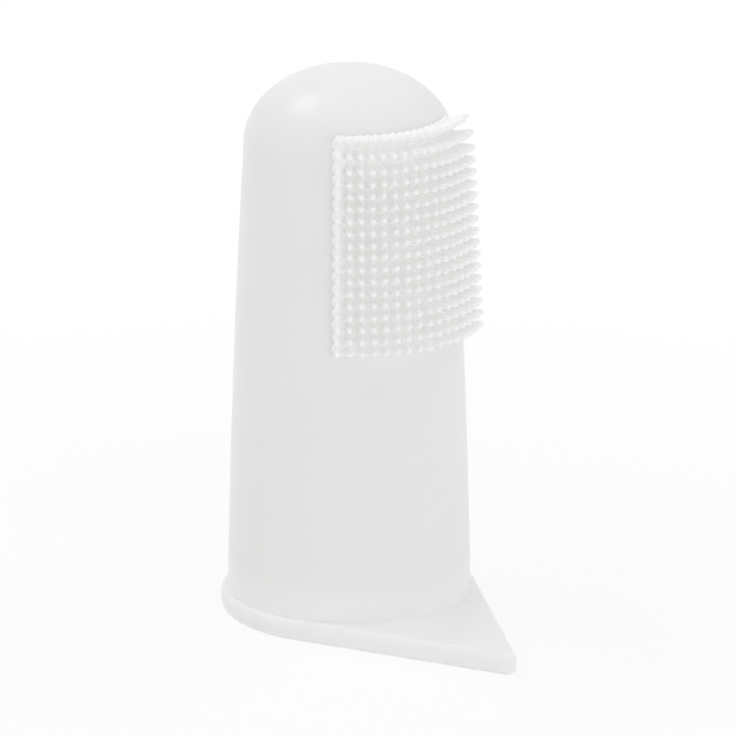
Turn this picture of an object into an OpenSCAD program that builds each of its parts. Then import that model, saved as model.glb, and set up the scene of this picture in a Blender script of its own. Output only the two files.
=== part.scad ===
// Finger toothbrush: a thimble of soft silicone that slips over a fingertip.
// The sleeve stands on its flange with the mouth down. The finger axis is Z, and the tab and the
// bristles face -Y.

/* [Sleeve] */
// Outer diameter of the sleeve where it stands on the flange
sleeve_base_d = 22; // [20:0.1:26]
// Outer diameter of the sleeve at the shoulder, where the dome begins
sleeve_shoulder_d = 18.6; // [17:0.1:19.8]
// Height of the sleeve from the flange to the shoulder
sleeve_h = 41.7; // [34:0.1:55]
// How far the wall bows out from a straight taper at half height
sleeve_bow = 0.2; // [0:0.05:0.5]
// Thickness of the sleeve's wall
sleeve_wall = 1.2; // [1:0.05:2]

/* [Dome] */
// Height of the dome above the shoulder
dome_h = 6.5; // [5:0.1:9]
// Thickness of the dome at its crown
dome_wall = 1.4; // [1:0.05:2.2]

/* [Flange] */
// Thickness of the flange and of its tab
flange_t = 1.9; // [1.2:0.1:3]
// How far the flange stands out from the foot of the sleeve
flange_overhang = 0.6; // [0.3:0.05:3]
// Radius of the rounded edges of the flange and of its tab
edge_round = 0.5; // [0.1:0.05:0.6]

/* [Pull tab] */
// Distance from the finger axis to the end of the tab
tab_reach = 24; // [19:0.1:32]
// Radius of the tab's rounded end
tab_tip_r = 0.8; // [0.2:0.05:2]

/* [Bristles] */
// Columns of bristles, side by side round the sleeve
bristle_columns = 17; // [10:1:20]
// Bristles in each column
bristle_rows = 18; // [10:1:24]
// Strips that the columns are shared out among
bristle_strips = 5; // [3:1:6]
// Spacing of the columns, measured round the shoulder
column_pitch = 0.84; // [0.75:0.01:1.4]
// Spacing of the rows, measured up the sleeve
row_pitch = 1.08; // [0.8:0.01:1.4]
// How far the field of bristles climbs past the shoulder onto the dome
field_rise = 2.3; // [0.5:0.1:3]
// Length of a bristle
bristle_l = 2.1; // [1:0.1:4]
// Width of a bristle at its root
bristle_root_w = 0.68; // [0.4:0.02:0.7]
// Width of a bristle at its tip
bristle_tip_w = 0.44; // [0.2:0.02:0.5]
// Thickness of the slice of wall that the bristles grow from
backing_t = 0.5; // [0.3:0.05:0.6]
// Clearance between that slice and its seat in the wall
seat_gap = 0.03; // [0.02:0.01:0.1]

/* [Hidden] */
$fn = 96;
taper_steps = 8;
dome_steps = 12;
edge_steps = 4;
plate_sides = 64;
cut_margin = bristle_l;
silicone = [0.92, 0.92, 0.91];
bristle_white = [0.95, 0.95, 0.94];

base_r = sleeve_base_d / 2;
shoulder_r = sleeve_shoulder_d / 2;
shoulder_z = flange_t + sleeve_h;
mouth_r = base_r - sleeve_wall;
flange_r = base_r + flange_overhang;

// The edges of the plate are never rounder than its thickness or the tab's end allow
edge_r = min(edge_round, tab_tip_r, flange_t / 2);
tip_y = tab_reach - tab_tip_r;

column_step = column_pitch / shoulder_r * 180 / PI;
field_span = bristle_columns * column_step;
field_top = shoulder_z + field_rise;
field_bottom = field_top - bristle_rows * row_pitch;
gap_turn = seat_gap / shoulder_r * 180 / PI;

function strip_name(strip) = str("bristle_strip_", strip);

// Columns that come before a strip
function columns_before(strip) = round((strip - 1) * bristle_columns / bristle_strips);

function reversed(list) = [for (i = [len(list) - 1:-1:0]) list[i]];

// Outer radius of the sleeve at a share t of its height: a straight taper and a slight bow
function taper_r(t) = base_r + (shoulder_r - base_r) * t + 4 * sleeve_bow * t * (1 - t);

// How the radius changes with height at a share t of the sleeve's height
function taper_slope(t) = (shoulder_r - base_r + 4 * sleeve_bow * (1 - 2 * t)) / sleeve_h;

// A dome is a quarter ellipse [half width, half height, centre height] that leaves the shoulder at
// radius r with the sleeve's own slope and closes at height h above it
function dome_ellipse(r, h) =
    let (slope = -taper_slope(1))
    let (drop = slope * h * h / (r - 2 * slope * h))
    [r / sqrt(1 - pow(drop / (h + drop), 2)), h + drop, shoulder_z - drop];

outer_dome = dome_ellipse(shoulder_r, dome_h);
inner_dome = dome_ellipse(shoulder_r - sleeve_wall, dome_h - dome_wall);

// Points [radius, height] up the sleeve's wall, drawn in by an inset
function taper_curve(inset) = [
    for (i = [0:taper_steps])
        [taper_r(i / taper_steps) - inset, flange_t + sleeve_h * i / taper_steps]
];

// Points [radius, height] over a dome, from the shoulder to the crown
function dome_curve(ellipse) =
    let (first = asin((shoulder_z - ellipse[2]) / ellipse[1]))
    [
        for (i = [0:dome_steps])
            let (turn = first + (90 - first) * i / dome_steps)
            [ellipse[0] * cos(turn), ellipse[2] + ellipse[1] * sin(turn)]
    ];

// Outer radius at any height of sleeve or dome
function outer_r(z) =
    z <= shoulder_z
        ? taper_r((z - flange_t) / sleeve_h)
        : outer_dome[0] * sqrt(1 - pow((z - outer_dome[2]) / outer_dome[1], 2));

// How the outer radius changes with height
function outer_slope(z) =
    z <= shoulder_z
        ? taper_slope((z - flange_t) / sleeve_h)
        : -pow(outer_dome[0] / outer_dome[1], 2) * (z - outer_dome[2]) / outer_r(z);

// A point on the outer wall, or a depth inside it, at a turn from the tab's direction
function wall_point(turn, z, depth = 0) =
    let (r = outer_r(z) - depth)
    [r * sin(turn), -r * cos(turn), z];

// Four corners of a bristle's square section, at a distance out from its root
function bristle_square(turn, z, out, width) =
    let (slope = outer_slope(z))
    let (lean = sqrt(1 + slope * slope))
    let (across = [cos(turn), sin(turn), 0])
    let (up = [slope * sin(turn), -slope * cos(turn), 1] / lean)
    let (outward = [sin(turn), -cos(turn), -slope] / lean)
    let (centre = wall_point(turn, z) + out * outward)
    [
        for (side = [[-1, -1], [1, -1], [1, 1], [-1, 1]])
            centre + width / 2 * (side[0] * across + side[1] * up)
    ];

// The seat in the wall that the strips fill: a shallow recess under the whole field
module field_seat() {
    levels = [
        field_bottom - seat_gap,
        for (row = [1:bristle_rows - 1]) field_bottom + row * row_pitch,
        field_top + seat_gap
    ];
    floor_curve = [for (z = levels) [outer_r(z) - backing_t - seat_gap, z]];
    clear_r = base_r + cut_margin;
    outline = concat(
        [[clear_r, levels[0]]],
        [[clear_r, levels[bristle_rows]]],
        reversed(floor_curve)
    );
    turn = field_span + 2 * gap_turn;
    rotate([0, 0, -90 - turn / 2])
        rotate_extrude(angle = turn)
            polygon(outline);
}

// Points [radius, height] of a quarter round on the rim of a disc of radius r
function edge_curve(r) = [
    for (i = [0:edge_steps])
        let (turn = 90 * i / edge_steps)
        [r - edge_r * (1 - cos(turn)), edge_r * (1 - sin(turn))]
];

// Disc of the flange's thickness with its lower and upper edge rounded
module rounded_disc(r) {
    lower_edge = reversed(edge_curve(r));
    upper_edge = [for (point = edge_curve(r)) [point[0], flange_t - point[1]]];
    rotate_extrude($fn = plate_sides)
        polygon(concat([[0, 0]], lower_edge, upper_edge, [[0, flange_t]]));
}

// Teardrop plate of flange and tab: one skin drawn round a large disc and a small one
module teardrop_plate() {
    hull() {
        rounded_disc(flange_r);
        translate([0, -tip_y, 0])
            rounded_disc(tab_tip_r);
    }
}

// The space in front of the flange, where the tab lies
module tab_side() {
    translate([-flange_r, -tab_reach - cut_margin, -cut_margin])
        cube([2 * flange_r, tab_reach + cut_margin - flange_r, flange_t + 2 * cut_margin]);
}

// Tapered tube round the finger, seated on the flange
module finger_sleeve() {
    color(silicone)
        difference() {
            rotate_extrude()
                polygon(concat(taper_curve(0), reversed(taper_curve(sleeve_wall))));
            field_seat();
        }
}

// Closed dome over the fingertip, carrying the sleeve's curve on to the crown
module domed_tip() {
    color(silicone)
        difference() {
            rotate_extrude()
                polygon(concat(dome_curve(outer_dome), reversed(dome_curve(inner_dome))));
            field_seat();
        }
}

// Flat ring round the mouth, drawn out to the front where the tab joins it
module base_flange() {
    color(silicone)
        difference() {
            teardrop_plate();
            tab_side();
            translate([0, 0, -cut_margin])
                cylinder(r = mouth_r, h = flange_t + 2 * cut_margin);
        }
}

// Pointed lip to pull the brush on and off by
module pull_tab() {
    color(silicone)
        intersection() {
            teardrop_plate();
            tab_side();
        }
}

// One strip of bristles and the slice of wall they grow from, as a single skin: a grid of cells
// with a bristle drawn out of the middle of each
module bristle_strip(strip) {
    first_column = columns_before(strip);
    strip_columns = columns_before(strip + 1) - first_column;
    first_turn = first_column * column_step - field_span / 2;
    corner_count = (strip_columns + 1) * (bristle_rows + 1);
    grid = [for (row = [0:bristle_rows]) for (column = [0:strip_columns]) [column, row]];
    cells = [for (row = [0:bristle_rows - 1]) for (column = [0:strip_columns - 1]) [column, row]];

    function turn_at(column) = first_turn + column * column_step;
    function height_at(row) = field_bottom + row * row_pitch;
    function skin(depth) = [for (at = grid) wall_point(turn_at(at[0]), height_at(at[1]), depth)];
    function squares(out, width) = [
        for (at = cells)
            each bristle_square(turn_at(at[0] + 0.5), height_at(at[1] + 0.5), out, width)
    ];

    roots_at = 2 * corner_count;
    tips_at = roots_at + 4 * len(cells);
    points = concat(
        skin(0),
        skin(backing_t),
        squares(0, bristle_root_w),
        squares(bristle_l, bristle_tip_w)
    );

    // Corners of a cell on the outer skin, then the same corners on the inner skin
    function outer_cell(at) =
        let (first = at[1] * (strip_columns + 1) + at[0])
        [first, first + 1, first + strip_columns + 2, first + strip_columns + 1];
    function inner_cell(at) = [for (corner = outer_cell(at)) corner + corner_count];

    // Two triangles for a four-cornered face
    function quad(a, b, c, d) = [[a, b, c], [a, c, d]];

    // Outer skin round the root, the bristle's four sides, its tip, and the inner skin
    cell_faces = [
        for (i = [0:len(cells) - 1])
            let (cell = outer_cell(cells[i]))
            let (inner = inner_cell(cells[i]))
            let (root = roots_at + 4 * i)
            let (tip = tips_at + 4 * i)
            each concat(
                [
                    for (k = [0:3])
                        let (next = (k + 1) % 4)
                        each concat(
                            quad(cell[k], root + k, root + next, cell[next]),
                            quad(root + k, tip + k, tip + next, root + next)
                        )
                ],
                quad(tip, tip + 3, tip + 2, tip + 1),
                quad(inner[0], inner[1], inner[2], inner[3])
            )
    ];

    // Edges of the slice, where a cell's side lies on the border of the grid
    edge_faces = [
        for (at = cells)
            let (cell = outer_cell(at))
            let (inner = inner_cell(at))
            let (on_border = [
                at[1] == 0,
                at[0] == strip_columns - 1,
                at[1] == bristle_rows - 1,
                at[0] == 0
            ])
            for (k = [0:3])
                let (next = (k + 1) % 4)
                if (on_border[k])
                    each quad(cell[k], cell[next], inner[next], inner[k])
    ];

    color(bristle_white)
        polyhedron(points, concat(cell_faces, edge_faces));
}

finger_sleeve();
domed_tip();
base_flange();
pull_tab();
for (strip = [1:bristle_strips])
    bristle_strip(strip);
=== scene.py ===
import math

import bpy
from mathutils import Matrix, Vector


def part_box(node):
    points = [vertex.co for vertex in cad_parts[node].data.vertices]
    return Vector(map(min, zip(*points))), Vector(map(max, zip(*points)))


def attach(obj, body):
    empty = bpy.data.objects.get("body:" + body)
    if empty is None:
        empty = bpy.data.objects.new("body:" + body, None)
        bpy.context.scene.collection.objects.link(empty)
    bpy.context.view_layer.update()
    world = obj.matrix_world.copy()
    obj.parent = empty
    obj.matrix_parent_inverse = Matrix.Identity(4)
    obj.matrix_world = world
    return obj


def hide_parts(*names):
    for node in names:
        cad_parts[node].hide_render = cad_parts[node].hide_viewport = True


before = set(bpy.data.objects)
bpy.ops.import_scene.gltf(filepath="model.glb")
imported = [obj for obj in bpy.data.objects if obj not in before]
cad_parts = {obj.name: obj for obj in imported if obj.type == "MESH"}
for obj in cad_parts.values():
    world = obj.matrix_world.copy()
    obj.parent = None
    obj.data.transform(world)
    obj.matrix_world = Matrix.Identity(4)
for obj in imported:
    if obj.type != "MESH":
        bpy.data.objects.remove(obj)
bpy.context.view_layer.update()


# Shell: sleeve, dome, flange and pull tab are one moulding of soft, milky silicone, open at the
# foot. It is drawn as a single closed skin: rings run from the crown inside, down the finger
# hollow, round the mouth and the flange, and back up the outside to the crown.
mm = 0.001
sleeve_low, sleeve_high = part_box("finger_sleeve")
dome_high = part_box("domed_tip")[1]
base_r = sleeve_high.x
shoulder_r = dome_high.x
flange_t = sleeve_low.z
shoulder_z = sleeve_high.z
sleeve_h = shoulder_z - flange_t
dome_h = dome_high.z - shoulder_z
flange_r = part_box("base_flange")[1].x
tab_reach = -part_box("pull_tab")[0].y

sleeve_bow = 0.2 * mm
sleeve_wall = 1.2 * mm
dome_wall = 1.4 * mm
tab_tip_r = 0.8 * mm
mouth_round = 0.4 * mm
lower_round = 0.4 * mm
lower_height = 0.5 * mm
upper_round = 0.42 * mm
upper_height = 0.8 * mm
foot_round = 0.14 * mm
foot_height = 1.1 * mm
foot_spread = 0.09


class Wire:
    """A socket of a node tree. Operators on wires add Math nodes, and node() adds any other."""

    def __init__(self, tree, socket=None):
        self.tree = tree
        self.socket = socket

    def node(self, kind, settings={}, sockets={}):
        """Adds a node, makes its settings, fills its sockets and returns a wire from its output."""
        made = self.tree.nodes.new(kind)
        for name, value in settings.items():
            setattr(made, name, value)
        for name, value in sockets.items():
            socket = made.inputs[name] if isinstance(name, int) else shown(made.inputs, name)
            if isinstance(value, Wire):
                self.tree.links.new(value.socket, socket)
            else:
                socket.default_value = value
        ends = [end for end in made.outputs if end.enabled]
        return Wire(self.tree, ends[0] if ends else None)

    def end(self, name):
        """Another output of the node that this wire comes from."""
        return Wire(self.tree, shown(self.socket.node.outputs, name))

    def maths(self, operation, *values):
        """A Math node on these values."""
        return self.node("ShaderNodeMath", {"operation": operation}, dict(enumerate(values)))

    def __add__(self, other):
        return self.maths("ADD", self, other)

    def __radd__(self, other):
        return self.maths("ADD", other, self)

    def __sub__(self, other):
        return self.maths("SUBTRACT", self, other)

    def __rsub__(self, other):
        return self.maths("SUBTRACT", other, self)

    def __mul__(self, other):
        return self.maths("MULTIPLY", self, other)

    def __rmul__(self, other):
        return self.maths("MULTIPLY", other, self)

    def __truediv__(self, other):
        return self.maths("DIVIDE", self, other)

    def __rtruediv__(self, other):
        return self.maths("DIVIDE", other, self)

    def __pow__(self, other):
        return self.maths("POWER", self, other)

    def __rpow__(self, other):
        return self.maths("POWER", other, self)

    def __neg__(self):
        return self.maths("MULTIPLY", self, -1)

    def __lt__(self, other):
        return self.maths("LESS_THAN", self, other)

    def __gt__(self, other):
        return self.maths("GREATER_THAN", self, other)


def shown(sockets, name):
    """The socket of that name that the node's settings leave in use."""
    return next(socket for socket in sockets if socket.name == name and socket.enabled)


def at_least(lowest, value):
    """The value, but nowhere below the lowest."""
    return value.maths("MAXIMUM", value, lowest)


def split(vector):
    """The X, Y and Z of a vector."""
    x = vector.node("ShaderNodeSeparateXYZ", {}, {0: vector})
    return x, x.end("Y"), x.end("Z")


def joined(x, y, z):
    """The vector with this X, Y and Z."""
    return z.node("ShaderNodeCombineXYZ", {}, {"X": x, "Y": y, "Z": z})


def taper_r(t):
    """Outer radius of the sleeve at a share t of its height: a straight taper and a slight bow."""
    return base_r + (shoulder_r - base_r) * t + 4 * sleeve_bow * t * (1 - t)


def taper_slope(t):
    """How fast that radius changes on the way up."""
    return (shoulder_r - base_r + 4 * sleeve_bow * (1 - 2 * t)) / sleeve_h


def dome_ellipse(r, h):
    """Half width, half height and centre height of a dome that meets the sleeve without a kink."""
    slope = -taper_slope(1)
    drop = slope * h * h / (r - 2 * slope * h)
    return r / math.sqrt(1 - (drop / (h + drop)) ** 2), h + drop, shoulder_z - drop


def dome_curve(ellipse, steps):
    """Radius and height of points over a dome, from the shoulder to the crown."""
    width, height, centre = ellipse
    first = math.asin((shoulder_z - centre) / height)
    turns = [first + (math.pi / 2 - first) * i / steps for i in range(steps)]
    curve = [(width * math.cos(turn), centre + height * math.sin(turn)) for turn in turns]
    return curve + [(0, centre + height)]


def quarter_round(centre, half_width, half_height, first, steps):
    """Points of a quarter of an ellipse, anticlockwise from an angle in quarter turns."""
    turns = [(first + i / steps) * math.pi / 2 for i in range(steps + 1)]
    return [
        (centre[0] + half_width * math.cos(turn), centre[1] + half_height * math.sin(turn))
        for turn in turns
    ]


def shares(steps):
    """The shares of a length at which even steps meet, without its two ends."""
    return [i / steps for i in range(1, steps)]


outer_dome = dome_ellipse(shoulder_r, dome_h)
inner_dome = dome_ellipse(shoulder_r - sleeve_wall, dome_h - dome_wall)
mouth_r = base_r - sleeve_wall
foot_r = base_r + foot_round

# Steps between the rings on each stretch of the skin, in the order in which it is drawn
inner_dome_steps = 16
hollow_steps = 16
edge_steps = 6
underside_steps = 8
flange_top_steps = 10
foot_steps = 12
sleeve_steps = 32
outer_dome_steps = 28


def shell_rings():
    """Each ring's radius, height, inset from the flange's outline, and share of that outline."""
    rings = [(r, z, 0, 0) for r, z in reversed(dome_curve(inner_dome, inner_dome_steps))]
    rings += [
        (taper_r(1 - t) - sleeve_wall, shoulder_z - sleeve_h * t, 0, 0)
        for t in shares(hollow_steps)
    ]
    rings += [(mouth_r, flange_t, 0, 0), (mouth_r, (flange_t + mouth_round) / 2, 0, 0)]
    mouth_centre = (mouth_r + mouth_round, mouth_round)
    mouth = quarter_round(mouth_centre, mouth_round, mouth_round, 2, edge_steps)
    rings += [(r, z, 0, 0) for r, z in mouth]
    rings += [(mouth_r + mouth_round, 0, lower_round, share) for share in shares(underside_steps)]
    lower = quarter_round((0, lower_height), lower_round, lower_height, 3, edge_steps)
    rings += [(flange_r, z, lower_round - r, 1) for r, z in lower]
    upper = quarter_round((0, flange_t - upper_height), upper_round, upper_height, 0, edge_steps)
    rings += [(flange_r, z, upper_round - r, 1) for r, z in upper]
    rings += [
        (foot_r, flange_t, upper_round, 1 - (1 - foot_spread) * t)
        for t in shares(flange_top_steps)
    ]
    foot = quarter_round((1, foot_height), 1, foot_height, 2, foot_steps)
    rings += [
        (taper_r(z / sleeve_h) + foot_round * out, flange_t + z, upper_round, foot_spread * out)
        for out, z in reversed(foot)
    ]
    rings += [(taper_r(t), flange_t + sleeve_h * t, 0, 0) for t in shares(sleeve_steps)]
    rings += [(r, z, 0, 0) for r, z in dome_curve(outer_dome, outer_dome_steps)]
    return rings


def node_tree(name, inputs):
    """A tree of geometry nodes with named inputs, and a wire from its input node."""
    tree = bpy.data.node_groups.new(name, "GeometryNodeTree")
    tree.interface.new_socket("Geometry", in_out="OUTPUT", socket_type="NodeSocketGeometry")
    for label, kind in inputs.items():
        tree.interface.new_socket(label, in_out="INPUT", socket_type="NodeSocket" + kind)
    return Wire(tree).node("NodeGroupInput")


def close_tree(geometry, material):
    """Ends a tree: plain mesh, smooth faces, one material."""
    plain = geometry.node("GeometryNodeRealizeInstances", {}, {"Geometry": geometry})
    smooth = plain.node("GeometryNodeSetShadeSmooth", {}, {"Geometry": plain})
    dressed = smooth.node("GeometryNodeSetMaterial", {}, {"Geometry": smooth, "Material": material})
    dressed.node("NodeGroupOutput", {}, {"Geometry": dressed})


scene = bpy.context.scene


def grow(name, start_mesh, wire, values):
    """Runs a tree on a mesh and returns the result as a plain mesh object."""
    carrier = bpy.data.objects.new(name + "_carrier", start_mesh)
    scene.collection.objects.link(carrier)
    modifier = carrier.modifiers.new("shape", "NODES")
    modifier.node_group = wire.tree
    for item in wire.tree.interface.items_tree:
        if item.in_out == "INPUT" and item.name in values:
            modifier[item.identifier] = values[item.name]
    evaluated = carrier.evaluated_get(bpy.context.evaluated_depsgraph_get())
    mesh = bpy.data.meshes.new_from_object(evaluated)
    carrier.modifiers.remove(modifier)
    bpy.data.objects.remove(carrier)
    piece = bpy.data.objects.new(name, mesh)
    scene.collection.objects.link(piece)
    return piece


# The finish: how fine each pattern is, how rough the skin is and what the patterns add to that
clouds_per_metre = 140
smears_per_metre = 420
grains_per_metre = 5200
cloud_share = 0.2
smear_height = 0.8
relief_strength = 0.6
satin_roughness = 0.24
smear_roughness = 0.08
grain_roughness = 0.05
silicone_ior = 1.41
scatter_tint = (1, 0.97, 0.92)


def ease(value, first, last, start, end):
    """Goes smoothly from start to end while a value goes from first to last."""
    return value.node("ShaderNodeMapRange", {"interpolation_type": "SMOOTHSTEP"}, {
        "Value": value, "From Min": first, "From Max": last, "To Min": start, "To Max": end,
    }).end("Result")


def noise(place, per_metre, sockets):
    """A noise pattern of that fineness."""
    return place.node("ShaderNodeTexNoise", {}, {"Vector": place, "Scale": per_metre, **sockets})


def flange_light_and_clouds(place):
    """Painted light: lighter towards the flange and tab, standing in for light that thick silicone
    holds and that the table bounces up; also faint clouds of real tone.
    """
    height = split(place)[2]
    # Painted light: the flange, tab and foot of the sleeve are painted lighter in place of bounce
    # light and light held in thick silicone
    painted_flange_light = ease(height, flange_t, 3 * flange_t, 1 - cloud_share, 0)
    clouds = noise(place, clouds_per_metre, {"Detail": 3, "Roughness": 0.55})
    return painted_flange_light + cloud_share * clouds


def silicone(name, first_tone, last_tone, shade, scatter, relief):
    """Satin silicone with smears and a fine mould grain. Its shade goes from one tone to the other.

    Light scatters that far under the skin. The slim bristles go without.
    """
    material = bpy.data.materials.new(name)
    material.use_nodes = True
    tree = material.node_tree
    tree.nodes.clear()
    place = Wire(tree).node("ShaderNodeTexCoord").end("Object")
    grain = noise(place, grains_per_metre, {"Detail": 2, "Roughness": 0.6})
    smear = noise(place, smears_per_metre, {"Detail": 4, "Distortion": 0.6})
    colour = place.node("ShaderNodeMix", {"data_type": "RGBA"}, {
        "Factor": shade(place), "A": (*first_tone, 1), "B": (*last_tone, 1),
    })
    bump = place.node("ShaderNodeBump", {}, {
        "Strength": relief_strength, "Distance": relief, "Height": grain + smear_height * smear,
    })
    skin = place.node("ShaderNodeBsdfPrincipled", {}, {
        "Base Color": colour,
        "Roughness": satin_roughness + smear_roughness * smear + grain_roughness * grain,
        "Normal": bump,
        "IOR": silicone_ior,
        "Subsurface Weight": 1 if scatter else 0,
        "Subsurface Radius": scatter_tint,
        "Subsurface Scale": scatter,
    })
    skin.node("ShaderNodeOutputMaterial", {}, {"Surface": skin})
    return material


# Painted light: the paler tone is painted on the flange, tab and sleeve foot in place of bounce
# light, and also gives the faint clouds of real tone
sleeve_white = (0.87, 0.87, 0.865)
flange_lit_and_cloud_white = (0.95, 0.95, 0.945)
shell_silicone = silicone(
    "shell_silicone", sleeve_white, flange_lit_and_cloud_white, flange_light_and_clouds, 0.2 * mm, 0.012 * mm
)

rings = shell_rings()
ring_mesh = bpy.data.meshes.new("shell_rings")
ring_mesh.from_pydata([(r, 0, z) for r, z, inset, share in rings], [], [])
for label, column in (("inset", 2), ("share", 3)):
    held = ring_mesh.attributes.new(label, "FLOAT", "POINT")
    held.data.foreach_set("value", [ring[column] for ring in rings])

sizes = node_tree("shell_of_rings", {
    "Rings": "Geometry",
    "Columns": "Int",
    "Tab crowding": "Float",
    "Flange radius": "Float",
    "Tab tip radius": "Float",
    "Tab reach": "Float",
})
ring_line = sizes.end("Rings")
ring_count = sizes.node(
    "GeometryNodeAttributeDomainSize", {"component": "MESH"}, {"Geometry": ring_line}
)
sheet = sizes.node("GeometryNodeMeshGrid", {}, {
    "Size X": 1, "Size Y": 1, "Vertices X": sizes.end("Columns"), "Vertices Y": ring_count,
})
position = sizes.node("GeometryNodeInputPosition")
round_share, ring_share = split(position)[:2]
ring_index = sizes.maths("ROUND", (ring_share + 0.5) * (ring_count - 1))


def from_ring(kind, value):
    """What the ring mesh holds for the ring that a point of the sheet belongs to."""
    return value.node(
        "GeometryNodeSampleIndex",
        {"data_type": kind, "domain": "POINT"},
        {"Geometry": ring_line, "Value": value, "Index": ring_index},
    )


def ring_value(label):
    """That ring's inset or share."""
    stored = sizes.node("GeometryNodeInputNamedAttribute", {"data_type": "FLOAT"}, {"Name": label})
    return from_ring("FLOAT", stored)


ring_place = split(from_ring("FLOAT_VECTOR", position))
ring_r, ring_z = ring_place[0], ring_place[2]
inset = ring_value("inset")

# The turn from the tab's direction: the columns of the sheet crowd towards the tab's narrow tip
crowding = sizes.end("Tab crowding")
turn = 2 * math.pi * ((1 - crowding) * round_share + 4 * crowding * round_share ** 3)
off_tab = sizes.maths("ABSOLUTE", turn)

# The flange's outline: an arc at the tip, a straight edge along the tangent, and the round rim
least_tip_r = 0.01 * mm
tip_centre = sizes.end("Tab reach") - sizes.end("Tab tip radius")
tip_r = at_least(least_tip_r, sizes.end("Tab tip radius") - inset)
rim_r = sizes.end("Flange radius") - inset
edge_turn = sizes.maths(
    "ARCCOSINE", (sizes.end("Flange radius") - sizes.end("Tab tip radius")) / tip_centre
)
tip_turn = sizes.maths(
    "ARCTAN2",
    tip_r * sizes.maths("SINE", edge_turn),
    tip_centre + tip_r * sizes.maths("COSINE", edge_turn),
)
across = tip_centre * sizes.maths("SINE", off_tab)
ahead = tip_centre * sizes.maths("COSINE", off_tab)
tip_arc = ahead + at_least(0, tip_r ** 2 - across ** 2) ** 0.5
edge = rim_r / sizes.maths("COSINE", off_tab - edge_turn)
to_edge = (off_tab < edge_turn) * (edge - rim_r)
to_tip = (off_tab < tip_turn) * (tip_arc - edge)
outline = rim_r + to_edge + to_tip

reach = ring_r + ring_value("share") * (outline - ring_r)
wrapped = joined(
    reach * sizes.maths("SINE", turn), -reach * sizes.maths("COSINE", turn), ring_z
)
moved = sizes.node("GeometryNodeSetPosition", {}, {"Geometry": sheet, "Position": wrapped})
seam_gap = 0.001 * mm
sewn = sizes.node("GeometryNodeMergeByDistance", {}, {"Geometry": moved, "Distance": seam_gap})
close_tree(sewn, shell_silicone)

shell = grow("silicone_shell", ring_mesh, sizes, {
    "Columns": 321,
    "Tab crowding": 0.78,
    "Flange radius": flange_r,
    "Tab tip radius": tab_tip_r,
    "Tab reach": tab_reach,
})
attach(shell, "root")
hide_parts("finger_sleeve", "domed_tip", "base_flange", "pull_tab")


# Bristles: short, round fingers of the same silicone, moulded in rows and columns on the side of
# the tab. Each stands square to the wall, is so thick at the root that it nearly meets its
# neighbours, and tapers to a round tip.
field_columns = 17
field_rows = 18
column_pitch = 0.84 * mm
row_pitch = 1.08 * mm
field_rise = 2.3 * mm
bristle_l = 2.1 * mm
bristle_root_r = 0.41 * mm
bristle_tip_r = 0.26 * mm
root_flare = 0.005 * mm
root_depth = 0.12 * mm
# Painted light: the roots are painted whiter and the tips a little greyer, standing in for light
# that translucent silicone carries into the shaded gaps between the bristles
root_lit_white = (0.995, 0.995, 0.99)
tip_dimmed_white = (0.975, 0.975, 0.97)


def along_bristle(place):
    """How far up its bristle a point lies, from root to tip."""
    return place.node("ShaderNodeAttribute", {"attribute_name": "along"}).end("Fac")


bristle_silicone = silicone(
    "bristle_silicone", root_lit_white, tip_dimmed_white, along_bristle, 0, 0.006 * mm
)

sizes = node_tree("bristle_field", {
    "Columns": "Int",
    "Rows": "Int",
    "Column step": "Float",
    "Row pitch": "Float",
    "Field top": "Float",
    "Length": "Float",
    "Root radius": "Float",
    "Tip radius": "Float",
    "Root flare": "Float",
    "Root depth": "Float",
    "Unevenness": "Float",
    "Seed": "Int",
})
columns = sizes.end("Columns")
rows = sizes.end("Rows")
roots = sizes.node("GeometryNodeMeshGrid", {}, {
    "Size X": columns - 1, "Size Y": rows - 1, "Vertices X": columns, "Vertices Y": rows,
})
position = sizes.node("GeometryNodeInputPosition")
column_place, row_place = split(position)[:2]
turn = column_place * sizes.end("Column step")
height = sizes.end("Field top") + (row_place - rows / 2) * sizes.end("Row pitch")

# Radius and slope of the wall at that height, on the sleeve or on the dome
up_sleeve = (height - flange_t) / sleeve_h
dome_width, dome_height, dome_centre = outer_dome
over_dome = (height - dome_centre) / dome_height
dome_r = dome_width * at_least(0, 1 - over_dome ** 2) ** 0.5
dome_slope = -(dome_width ** 2 / dome_height) * over_dome / dome_r
on_dome = height > shoulder_z
wall_r = taper_r(up_sleeve) + on_dome * (dome_r - taper_r(up_sleeve))
wall_slope = taper_slope(up_sleeve) + on_dome * (dome_slope - taper_slope(up_sleeve))

sideways = sizes.maths("SINE", turn)
backward = -sizes.maths("COSINE", turn)
root_place = joined(wall_r * sideways, wall_r * backward, height)
outward = joined(sideways, backward, -wall_slope)

# One bristle, drawn along its length with its rings close together at the tip
bristle_rings = 9
bristle_sides = 10
tip_crowding = 2.2
flare_reach = 3
blunt_end = 0.04

spine = sizes.node(
    "GeometryNodeCurvePrimitiveLine", {}, {"Start": (0, 0, 0), "End": (0, 0, 1)}
)
spine = sizes.node("GeometryNodeResampleCurve", {}, {"Curve": spine, "Count": bristle_rings})
along = sizes.node("GeometryNodeSplineParameter")
length = sizes.end("Length")
depth = sizes.end("Root depth")
rise = (length + depth) * (1 - (1 - along) ** tip_crowding) - depth
spine = sizes.node("GeometryNodeSetPosition", {}, {
    "Geometry": spine, "Position": joined(0, 0, rise),
})

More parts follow.
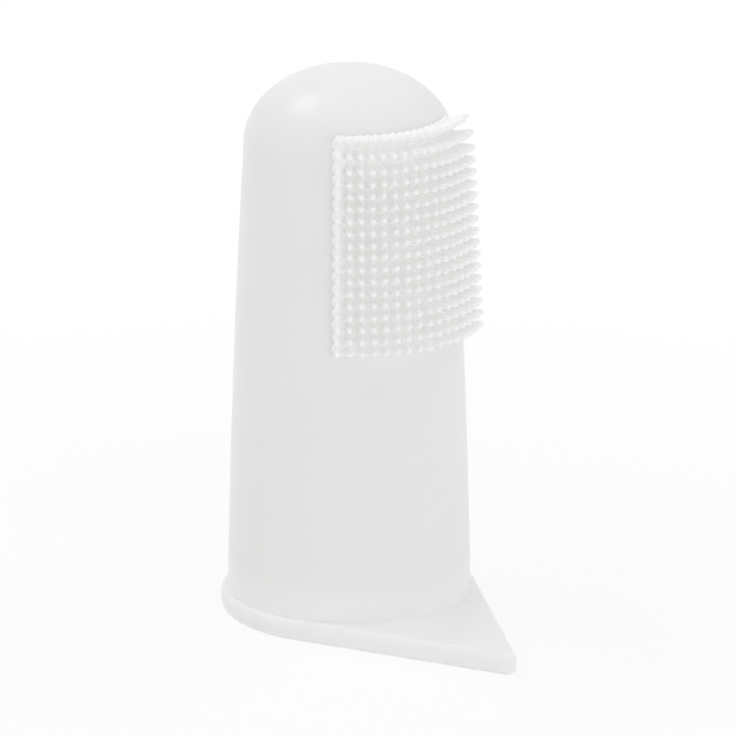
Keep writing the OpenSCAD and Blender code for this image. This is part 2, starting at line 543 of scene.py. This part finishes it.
level = split(position)[2]
tip_r = sizes.end("Tip radius")
root_r = sizes.end("Root radius")
flare = sizes.end("Root flare")
taper = root_r + (tip_r - root_r) * level / length
into_tip = at_least(0, 1 - (length - level) / tip_r)
tip_rounding = at_least(blunt_end, 1 - into_tip ** 2) ** 0.5
root_widening = flare * at_least(0, 1 - level / (flare_reach * flare)) ** 2
spine = sizes.node("GeometryNodeSetCurveRadius", {}, {
    "Curve": spine, "Radius": taper * tip_rounding + root_widening,
})
ring = sizes.node(
    "GeometryNodeCurvePrimitiveCircle", {}, {"Resolution": bristle_sides, "Radius": 1}
)
bristle = sizes.node("GeometryNodeCurveToMesh", {}, {
    "Curve": spine,
    "Profile Curve": ring,
    "Scale": sizes.node("GeometryNodeInputRadius"),
    "Fill Caps": True,
})
bristle = sizes.node(
    "GeometryNodeStoreNamedAttribute",
    {"data_type": "FLOAT", "domain": "POINT"},
    {"Geometry": bristle, "Name": "along", "Value": level / length},
)

# Every bristle leans a little its own way, as soft bristles do
lean = sizes.node("FunctionNodeRandomValue", {"data_type": "FLOAT_VECTOR"}, {
    "Min": (-1, -1, -1), "Max": (1, 1, 1), "Seed": sizes.end("Seed"),
})
leaning = sizes.node("ShaderNodeVectorMath", {"operation": "SCALE"}, {
    0: lean, "Scale": sizes.end("Unevenness"),
})
direction = sizes.node("ShaderNodeVectorMath", {"operation": "ADD"}, {0: outward, 1: leaning})
stand = sizes.node("FunctionNodeAlignRotationToVector", {"axis": "Z"}, {"Vector": direction})
standing = sizes.node("GeometryNodeInstanceOnPoints", {}, {
    "Points": roots, "Instance": bristle, "Rotation": stand,
})
field = sizes.node("GeometryNodeSetPosition", {}, {"Geometry": standing, "Position": root_place})
close_tree(field, bristle_silicone)

bristles = grow("bristle_field", bpy.data.meshes.new("bristle_start"), sizes, {
    "Columns": field_columns,
    "Rows": field_rows,
    "Column step": column_pitch / shoulder_r,
    "Row pitch": row_pitch,
    "Field top": shoulder_z + field_rise,
    "Length": bristle_l,
    "Root radius": bristle_root_r,
    "Tip radius": bristle_tip_r,
    "Root flare": root_flare,
    "Root depth": root_depth,
    "Unevenness": 0.02,
    "Seed": 7,
})
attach(bristles, "root")
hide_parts(*[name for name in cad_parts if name.startswith("bristle_strip")])


# Camera: a long lens half a metre away and a little above the brush. It stands to one side of the
# pull tab, so that the tab points forward and to the right of the viewer.
view_azimuth = math.radians(-36.8)
view_elevation = math.radians(17.2)
view_distance = 0.5
view_width = 0.066
aim_height = 0.0222
aim_right = 0.0017

viewer_right = Vector((math.cos(view_azimuth), math.sin(view_azimuth), 0))
to_viewer = Vector((
    math.sin(view_azimuth) * math.cos(view_elevation),
    -math.cos(view_azimuth) * math.cos(view_elevation),
    math.sin(view_elevation),
))
aim = aim_right * viewer_right + Vector((0, 0, aim_height))

lens = bpy.data.cameras.new("viewer")
lens.lens = lens.sensor_width * view_distance / view_width
lens.clip_start = 0.01
viewer = bpy.data.objects.new("viewer", lens)
viewer.location = aim + view_distance * to_viewer
viewer.rotation_euler = (-to_viewer).to_track_quat("-Z", "Y").to_euler()
scene.collection.objects.link(viewer)
scene.camera = viewer
scene.view_settings.view_transform = "Standard"


# Studio: a plain white table that fades into a white surround, even light from all round, and
# softboxes above, at both sides and low in front. Only a small one behind shows in the gloss, on
# the dome. White bristles pass light on many times, so it may bounce more often than usual.
scene.cycles.diffuse_bounces = 16
scene.cycles.max_bounces = 20
table_r = 2.0
table_sides = 96
table_grey = 0.95
fade_start, fade_end = 0.025, 0.11
glow_start, glow_end = 0.8, 1
sky_level = 0.59


def looked_at(wire):
    """1 where a thing is seen, straight, mirrored or through another, 0 where it only lights."""
    ray = wire.node("ShaderNodeLightPath")
    return ray.maths("MINIMUM", 1, (
        ray.end("Is Camera Ray") + ray.end("Is Glossy Ray") + ray.end("Is Transmission Ray")
    ))


bpy.ops.mesh.primitive_circle_add(vertices=table_sides, radius=table_r, fill_type="NGON")
table = bpy.context.object
table.name = "table_top"
white = bpy.data.materials.new("table_white")
white.use_nodes = True
white.node_tree.nodes.clear()
place = Wire(white.node_tree).node("ShaderNodeTexCoord").end("Object")
far = place.node("ShaderNodeVectorMath", {"operation": "LENGTH"}, {0: place}).end("Value")
fade = ease(far, fade_start, fade_end, glow_start, glow_end)
matt = place.node(
    "ShaderNodeBsdfDiffuse", {}, {"Color": (table_grey, table_grey, table_grey, 1)}
)
glow = place.node("ShaderNodeEmission", {}, {"Color": (1, 1, 1, 1), "Strength": 1})
mixed = place.node("ShaderNodeMixShader", {}, {0: looked_at(place) * fade, 1: matt, 2: glow})
mixed.node("ShaderNodeOutputMaterial", {}, {"Surface": mixed})
table.data.materials.append(white)

surround = bpy.data.worlds.new("studio")
scene.world = surround
surround.use_nodes = True
surround.node_tree.nodes.clear()
seen = looked_at(Wire(surround.node_tree))
sky = seen.node("ShaderNodeBackground", {}, {
    "Color": (1, 1, 1, 1), "Strength": sky_level + (1 - sky_level) * seen,
})
sky.node("ShaderNodeOutputWorld", {}, {"Surface": sky})


def softbox(name, place, size, power, mirrored):
    """A round lamp that faces the brush, and shows in its gloss or not."""
    lamp = bpy.data.lights.new(name, "AREA")
    lamp.shape = "DISK"
    lamp.size = size
    lamp.energy = power
    box = bpy.data.objects.new(name, lamp)
    box.location = place
    box.rotation_euler = (aim - Vector(place)).to_track_quat("-Z", "Y").to_euler()
    box.visible_glossy = mirrored
    scene.collection.objects.link(box)


for name, right, near, up, size, power, mirrored in (
    ("top_softbox", 0, 0, 0.5, 0.5, 0.18, False),
    ("left_softbox", -0.3, 0.1, 0.32, 0.3, 0.27, False),
    ("right_softbox", 0.28, -0.1, 0.4, 0.3, 0.28, False),
    ("front_softbox", 0.16, 0.4, -0.08, 0.3, 0.38, False),
    ("back_softbox", -0.235, -0.14, 0.455, 0.16, 0.26, True),
):
    place = aim + right * viewer_right + near * to_viewer + Vector((0, 0, up))
    softbox(name, place, size, power, mirrored)
